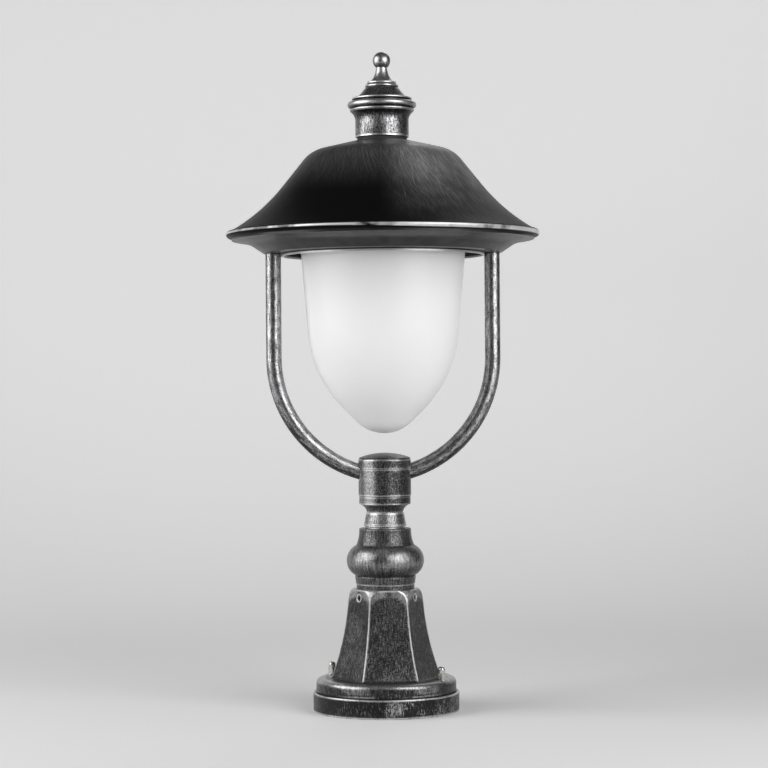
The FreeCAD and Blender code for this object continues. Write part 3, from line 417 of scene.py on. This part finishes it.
def spandrels(graph):
    """1 between the arched tops of the six panels, from the ridges up to the round shoulder."""
    off_ridge = graph.times(ridge_turn(graph), RIDGE_R)
    share = graph.calc("DIVIDE", graph.minus(graph.height(), SPANDREL_Z), SPANDREL_H, clamp=True)
    reach = graph.times(graph.calc("POWER", share, SPANDREL_CURVE), SPANDREL_W)
    beside = graph.ramp(graph.minus(off_ridge, reach), *SPANDREL_FADE, start=1.0, end=0.0)
    return graph.times(beside, graph.ramp(share, low=0.0, high=0.6))


def pedestal_cover(graph):
    """Silver between the arches, on the flange's edge and, as a painted highlight, on the flange wall below
    the ridges, and none along its bottom.
    """
    height = graph.height()
    body = graph.ramp(height, SHOULDER_Z, MOUTH_Z, start=0.19, end=0.28)
    low = graph.ramp(height, FLANGE_Z, FLANGE_Z + FLANGE_LINE_H, start=-0.8, end=0.0)
    # painted highlight: more silver on the flange wall below each ridge and less between them, standing in
    # for the flange's highlights
    wall = graph.ramp(ridge_turn(graph), *RIDGE_FADE, start=0.24, end=-0.40)
    edge = graph.ramp(height, FLANGE_EDGE_Z, FLANGE_EDGE_Z + FLANGE_EDGE_H, start=wall, end=0.42)
    rim = graph.times(edge, graph.ramp(graph.radius(), FLANGE_EDGE_R, FLANGE_EDGE_R + FLANGE_EDGE_W))
    return graph.total(body, low, rim, graph.times(spandrels(graph), SPANDREL_COVER))


def pedestal_paint():
    return antique_casting(
        "pedestal_paint", upright(60.0, 130.0), pedestal_cover, softness=0.23, edge=1.0, corner_round=0.0026
    )


def baluster_cover(graph):
    """Silver on the bulb, little on foot and neck, and a silver line at the foot of the lower collar."""
    height = graph.height()
    above = graph.ramp(height, BULB_Z, BULB_Z + BULB_FADE)
    bulb = graph.times(above, graph.ramp(height, NECK_Z - BULB_FADE, NECK_Z, start=0.30, end=0.0))
    line = graph.ramp(graph.distance(height, FOOT_LINE_Z), *FOOT_LINE_FADE, start=0.7, end=0.0)
    return graph.total(bulb, line, BALUSTER_COVER)


def baluster_paint():
    strokes = upright(34.0, 90.0)
    return antique_casting(
        "baluster_paint", strokes, baluster_cover, softness=0.30, edge=0.3, roughness=0.42, spread=0.3
    )


def neck_paint():
    return antique_casting("bright_paint", upright(30.0, 300.0), even(0.52), softness=0.20, roughness=0.42)


def side_share(graph, side):
    """1 on the two opposite sides that a direction points to, 0 halfway between them."""
    towards = graph.add("ShaderNodeVectorMath", operation="DOT_PRODUCT")
    graph.feed(towards.inputs[0], graph.spot)
    towards.inputs[1].default_value = side
    return graph.calc("ABSOLUTE", graph.calc("DIVIDE", towards.outputs["Value"], graph.radius()))


def hub_cover(graph):
    """Silver brushed onto two opposite sides, one of them the left-front side where the left lamp's highlight
    falls, so partly a painted highlight, and near black between them.
    """
    return graph.ramp(side_share(graph, HUB_LIT_SIDE), low=0.80, high=0.95, start=0.17, end=0.50)


def hub_paint():
    return antique_casting("hub_paint", upright(40.0, 400.0), hub_cover, softness=0.24, edge=0.6, spread=0.3)


def lid_paint():
    return antique_casting("lid_paint", upright(40.0, 400.0), even(0.20), softness=0.24, edge=0.0)


def arm_paint():
    return antique_casting(
        "arm_paint", along_arms(520.0, 120.0), even(0.54), softness=0.20, edge=0.0, roughness=0.30, spread=0.3
    )


def collar_cover(graph):
    """More silver on the thick ring."""
    off_ring = graph.distance(graph.height(), RING_Z)
    return graph.ramp(off_ring, RING_HALF_H, 2 * RING_HALF_H, start=0.72, end=0.44)


def collar_paint():
    return antique_casting("collar_paint", upright(32.0, 220.0), collar_cover, softness=0.16)


def finial_paint():
    return antique_casting("finial_paint", upright(32.0, 220.0), even(0.62), softness=0.14)


def hood_strokes(graph, twist=0.0):
    """Fine strokes that run down the hood."""
    return graph.noise(round_spot(graph, HOOD_TURNS, HOOD_RISE, twist), 1.0, detail=3.0, roughness=0.7)


def hood_cover(graph):
    """Patchy silver on two shoulders, one of them the right-front shoulder where the light falls, so partly a
    painted highlight, and a little all over the crown.
    """
    height = graph.height()
    side = graph.ramp(side_share(graph, HOOD_LIT_SIDE), low=0.70, high=1.0)
    # painted highlight: the shoulder strokes are strongest towards the right-front, where the hood catches
    # the light
    lit_lobe = graph.times(side, graph.ramp(height, BRUSHED_Z, BRUSHED_TOP_Z, start=0.03, end=0.46))
    cloud = graph.noise(graph.spot, HOOD_PATCH_SCALE)
    patches = graph.ramp(cloud, low=0.35, high=0.65, start=0.55, end=1.0)
    crown = graph.ramp(height, CROWN_Z, CROWN_TOP_Z, start=0.0, end=0.12)
    return graph.total(graph.times(lit_lobe, patches), crown)


def bead_highlight(graph):
    """A silver line on the bead, painted as a highlight: thin and broken at the left, and full at the right
    where the light is brightest.
    """
    x, _, height = graph.axes()
    bottom = graph.ramp(x, *BEAD_WIDENS_X, start=BEAD_TOP_Z - BEAD_THIN, end=BEAD_Z)
    above = graph.ramp(graph.minus(height, bottom), -BEAD_FADE, BEAD_FADE)
    below = graph.ramp(height, BEAD_TOP_Z - BEAD_FADE, BEAD_TOP_Z + BEAD_FADE, start=0.9, end=0.0)
    breaks = graph.noise(round_spot(graph, BREAK_TURNS, BREAK_RISE), 1.0, detail=3.0)
    cover = graph.ramp(x, *BEAD_FILLS_X, start=0.62, end=1.0)
    return graph.times(graph.times(above, below), dry_brush(graph, breaks, cover, softness=0.16))


def hood_paint():
    """Spun sheet: satin black, with fine crossed strokes on crown and shoulders, heavier on the shoulders as
    a painted highlight, and a silver bead line painted as a highlight.
    """
    graph = Graph("hood_paint")
    down = hood_strokes(graph)
    crossed = graph.calc("MAXIMUM", down, hood_strokes(graph, HOOD_TWIST))
    strokes = graph.ramp(crossed, low=0.50, high=0.70, start=0.36, end=1.0)
    brushed = graph.times(strokes, hood_cover(graph))
    silver = graph.calc("MAXIMUM", brushed, bead_highlight(graph))
    # the brighter silver and half metallic also brighten the bead's painted highlight
    lacquer(graph, silver, (SILVER, BRIGHT_SILVER), metallic=0.5, roughness=0.36, ior=1.08)
    height = mixed(graph, down, silver)
    graph.bump(height, BRUSH_HEIGHT, strength=0.3, normal=graph.rounded(SOFT_CORNER))
    return graph.material


def tray_paint():
    """Spun sheet under the hood: smooth satin graphite, with silver on the lip painted as a highlight line.
    """
    graph = Graph("tray_paint")
    fine = graph.noise(graph.spot, TRAY_SCALE)
    # painted highlight: a silver line along the lip's lower edge
    lip = graph.ramp(graph.height(), LIP_TOP_Z - LIP_FADE, LIP_TOP_Z + LIP_FADE, start=0.8, end=0.0)
    silver = graph.calc("ADD", lip, graph.vary(fine, 0.015, 0.04), clamp=True)
    lacquer(graph, silver, (SILVER, BRIGHT_SILVER), metallic=0.5)
    graph.bump(fine, WAVE_HEIGHT, strength=0.1)
    return graph.material


def opal():
    """Satin opal moulding with a faint waviness."""
    graph = Graph("opal")
    graph.set(
        colour=graph.blend(graph.noise(graph.spot, OPAL_TONE_SCALE, detail=1.0), OPAL, LIGHT_OPAL),
        roughness=graph.vary(graph.noise(graph.spot, OPAL_GRAIN_SCALE), 0.34, 0.44),
        subsurface=0.5,
        specular=0.45,
    )
    graph.shader.inputs["Subsurface Radius"].default_value = (OPAL_DEPTH, OPAL_DEPTH, OPAL_DEPTH)
    graph.bump(graph.noise(graph.spot, OPAL_WAVE_SCALE), WAVE_HEIGHT, strength=0.15)
    return graph.material


def shaded(colour, share):
    """A darker shade of a colour, and the colour itself, with alpha."""
    return tuple(channel * share for channel in colour) + (1.0,), colour + (1.0,)


def plated(name, colour, roughness):
    """Plated or unplated metal with fine wear."""
    graph = Graph(name)
    tone = graph.noise(graph.spot, PLATE_SCALE, detail=3.0, roughness=0.6)
    graph.set(
        colour=graph.blend(tone, *shaded(colour, share=0.75)),
        metallic=1.0,
        roughness=graph.vary(tone, roughness, roughness + 0.15),
    )
    graph.bump(tone, WEAR_HEIGHT, strength=0.3)
    return graph.material


def moulded(name, colour, roughness, grain, coat=0.0):
    """Rubber, plastic, enamel or porcelain with a fine grain."""
    graph = Graph(name)
    tone = graph.noise(graph.spot, grain, detail=3.0, roughness=0.6)
    graph.set(
        colour=graph.blend(tone, *shaded(colour, share=0.82)),
        roughness=graph.vary(tone, roughness, roughness + 0.12),
        coat=coat,
        coat_roughness=0.08,
    )
    graph.bump(tone, GRAIN_HEIGHT, strength=0.3)
    return graph.material


def materials():
    """Each material with the nodes that wear it."""
    zinc_nodes = (
        "block_screws", "tie_nipple", "nipple_nuts", "arm_bushes", "arm_washers", "arm_lock_nuts",
        "lamp_bridge", "hood_rod", "rod_nut", "gallery_screws", "holder_screws",
    )
    nickel_nodes = ("flange_studs", "flange_washers", "acorn_nuts")
    brass_nodes = ("clamp_screws", "earth_screw", "holder_shell", "holder_contact")
    rubber_nodes = ("base_gasket", "cable_grommet", "collar_seal", "diffuser_seal")
    return (
        (base_paint(), ("mounting_dish",)),
        (pedestal_paint(), ("pedestal",)),
        (baluster_paint(), ("baluster",)),
        (neck_paint(), ("neck_collar",)),
        (hub_paint(), ("hub",)),
        (lid_paint(), ("hub_lid",)),
        (arm_paint(), ("left_arm", "right_arm")),
        (collar_paint(), ("collar",)),
        (finial_paint(), ("finial",)),
        (hood_paint(), ("hood",)),
        (tray_paint(), ("tray",)),
        (opal(), ("diffuser",)),
        (plated("nickel", (0.66, 0.65, 0.62), roughness=0.10), nickel_nodes),
        (plated("zinc", (0.62, 0.63, 0.65), roughness=0.28), zinc_nodes),
        # black oxide screws, dark also as painted shade for the holes they sit in
        (plated("black_oxide_and_hole_shade", (0.10, 0.10, 0.105), roughness=0.22), ("set_screws",)),
        (plated("brass", (0.78, 0.58, 0.26), roughness=0.22), brass_nodes),
        (moulded("enamel", (0.82, 0.82, 0.80), roughness=0.25, grain=200.0, coat=0.4), ("gallery_pan",)),
        (moulded("rubber", (0.025, 0.025, 0.026), roughness=0.62, grain=900.0), rubber_nodes),
        (moulded("sheath", (0.03, 0.03, 0.032), roughness=0.48, grain=700.0), ("supply_lead",)),
        (moulded("nylon", (0.84, 0.84, 0.81), roughness=0.38, grain=600.0), ("terminal_block",)),
        (moulded("porcelain", (0.86, 0.85, 0.82), roughness=0.14, grain=150.0, coat=0.6), ("lampholder",)),
        (moulded("frosted_bulb", (0.90, 0.90, 0.88), roughness=0.30, grain=400.0), ("bulb",)),
    )


def dress():
    for material, names in materials():
        for name in names:
            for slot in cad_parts[name].material_slots:
                slot.material = material


def link(name, data):
    thing = bpy.data.objects.new(name, data)
    bpy.context.scene.collection.objects.link(thing)
    return thing


def make_camera():
    azimuth = math.radians(CAMERA_AZIMUTH)
    back = Vector((math.sin(azimuth), -math.cos(azimuth), 0.0))
    data = bpy.data.cameras.new("camera")
    data.lens = LENS
    camera = link("camera", data)
    camera.location = back * CAMERA_DISTANCE + Vector((0.0, 0.0, CAMERA_HEIGHT))
    turn = (-back).to_track_quat("-Z", "Y")
    camera.rotation_mode = "QUATERNION"
    camera.rotation_quaternion = turn @ Quaternion((0.0, 0.0, 1.0), math.radians(-CAMERA_ROLL))
    bpy.context.scene.camera = camera


def make_lamps():
    for name, place, width, height, watts in LAMPS:
        data = bpy.data.lights.new(name, "AREA")
        data.shape = "RECTANGLE"
        data.size = width
        data.size_y = height
        data.energy = watts
        lamp = link(name, data)
        lamp.location = place
        lamp.rotation_euler = (AIM - Vector(place)).to_track_quat("-Z", "Y").to_euler()


def make_world():
    world = bpy.data.worlds.new("room")
    bpy.context.scene.world = world
    world.use_nodes = True
    world.node_tree.nodes["Background"].inputs["Color"].default_value = (ROOM_GREY, ROOM_GREY, ROOM_GREY, 1.0)


def stage_paint():
    """Pale matt paint that also shows pale to the camera, to metal and to glass."""
    graph = Graph("stage_paint")
    grey = (FLOOR_GREY, FLOOR_GREY, FLOOR_GREY, 1.0)
    graph.set(colour=grey, roughness=0.9, specular=0.1)
    path = graph.add("ShaderNodeLightPath")
    rays = ("Is Camera Ray", "Is Glossy Ray", "Is Transmission Ray")
    seen = graph.total(*(path.outputs[ray] for ray in rays))
    glow = graph.ramp(graph.axes()[1], 0.0, GLOW_END, NEAR_GLOW, FAR_GLOW)
    graph.shader.inputs["Emission Color"].default_value = grey
    graph.feed(graph.shader.inputs["Emission Strength"], graph.times(seen, glow))
    return graph.material


def stage_profile():
    """Points as (radius, height), from the edge of the flat floor up the sweep to the top of the wall."""
    flat = FLOOR_RADIUS - SWEEP_RADIUS
    turns = [math.pi / 2 * i / SWEEP_STEPS for i in range(SWEEP_STEPS + 1)]
    sweep = [(flat + SWEEP_RADIUS * math.sin(turn), SWEEP_RADIUS * (1 - math.cos(turn))) for turn in turns]
    return sweep + [(FLOOR_RADIUS, WALL_HEIGHT)]


def make_stage():
    """A round floor, cut back in front, that sweeps up into a wall behind the object."""
    profile = stage_profile()
    rings = len(profile)
    points = [(0.0, 0.0, 0.0)]
    faces = []
    for k in range(SPOKES):
        turn = 2 * math.pi * k / SPOKES
        rise = min(max(math.sin(turn) * WALL_STEEPNESS - WALL_DELAY, 0.0), 1.0)
        reach = 1.0 - FRONT_CUT * max(-math.sin(turn), 0.0)
        points += [(r * reach * math.cos(turn), r * reach * math.sin(turn), z * rise) for r, z in profile]
        here = 1 + k * rings
        after = 1 + (k + 1) % SPOKES * rings
        faces.append((0, here, after))
        faces += [(here + i, here + i + 1, after + i + 1, after + i) for i in range(rings - 1)]
    mesh = bpy.data.meshes.new("stage")
    mesh.from_pydata(points, [], faces)
    mesh.polygons.foreach_set("use_smooth", [True] * len(mesh.polygons))
    mesh.materials.append(stage_paint())
    link("stage", mesh)


make_camera()
make_world()
make_lamps()
make_stage()
dress()
bpy.context.scene.view_settings.view_transform = "Standard"
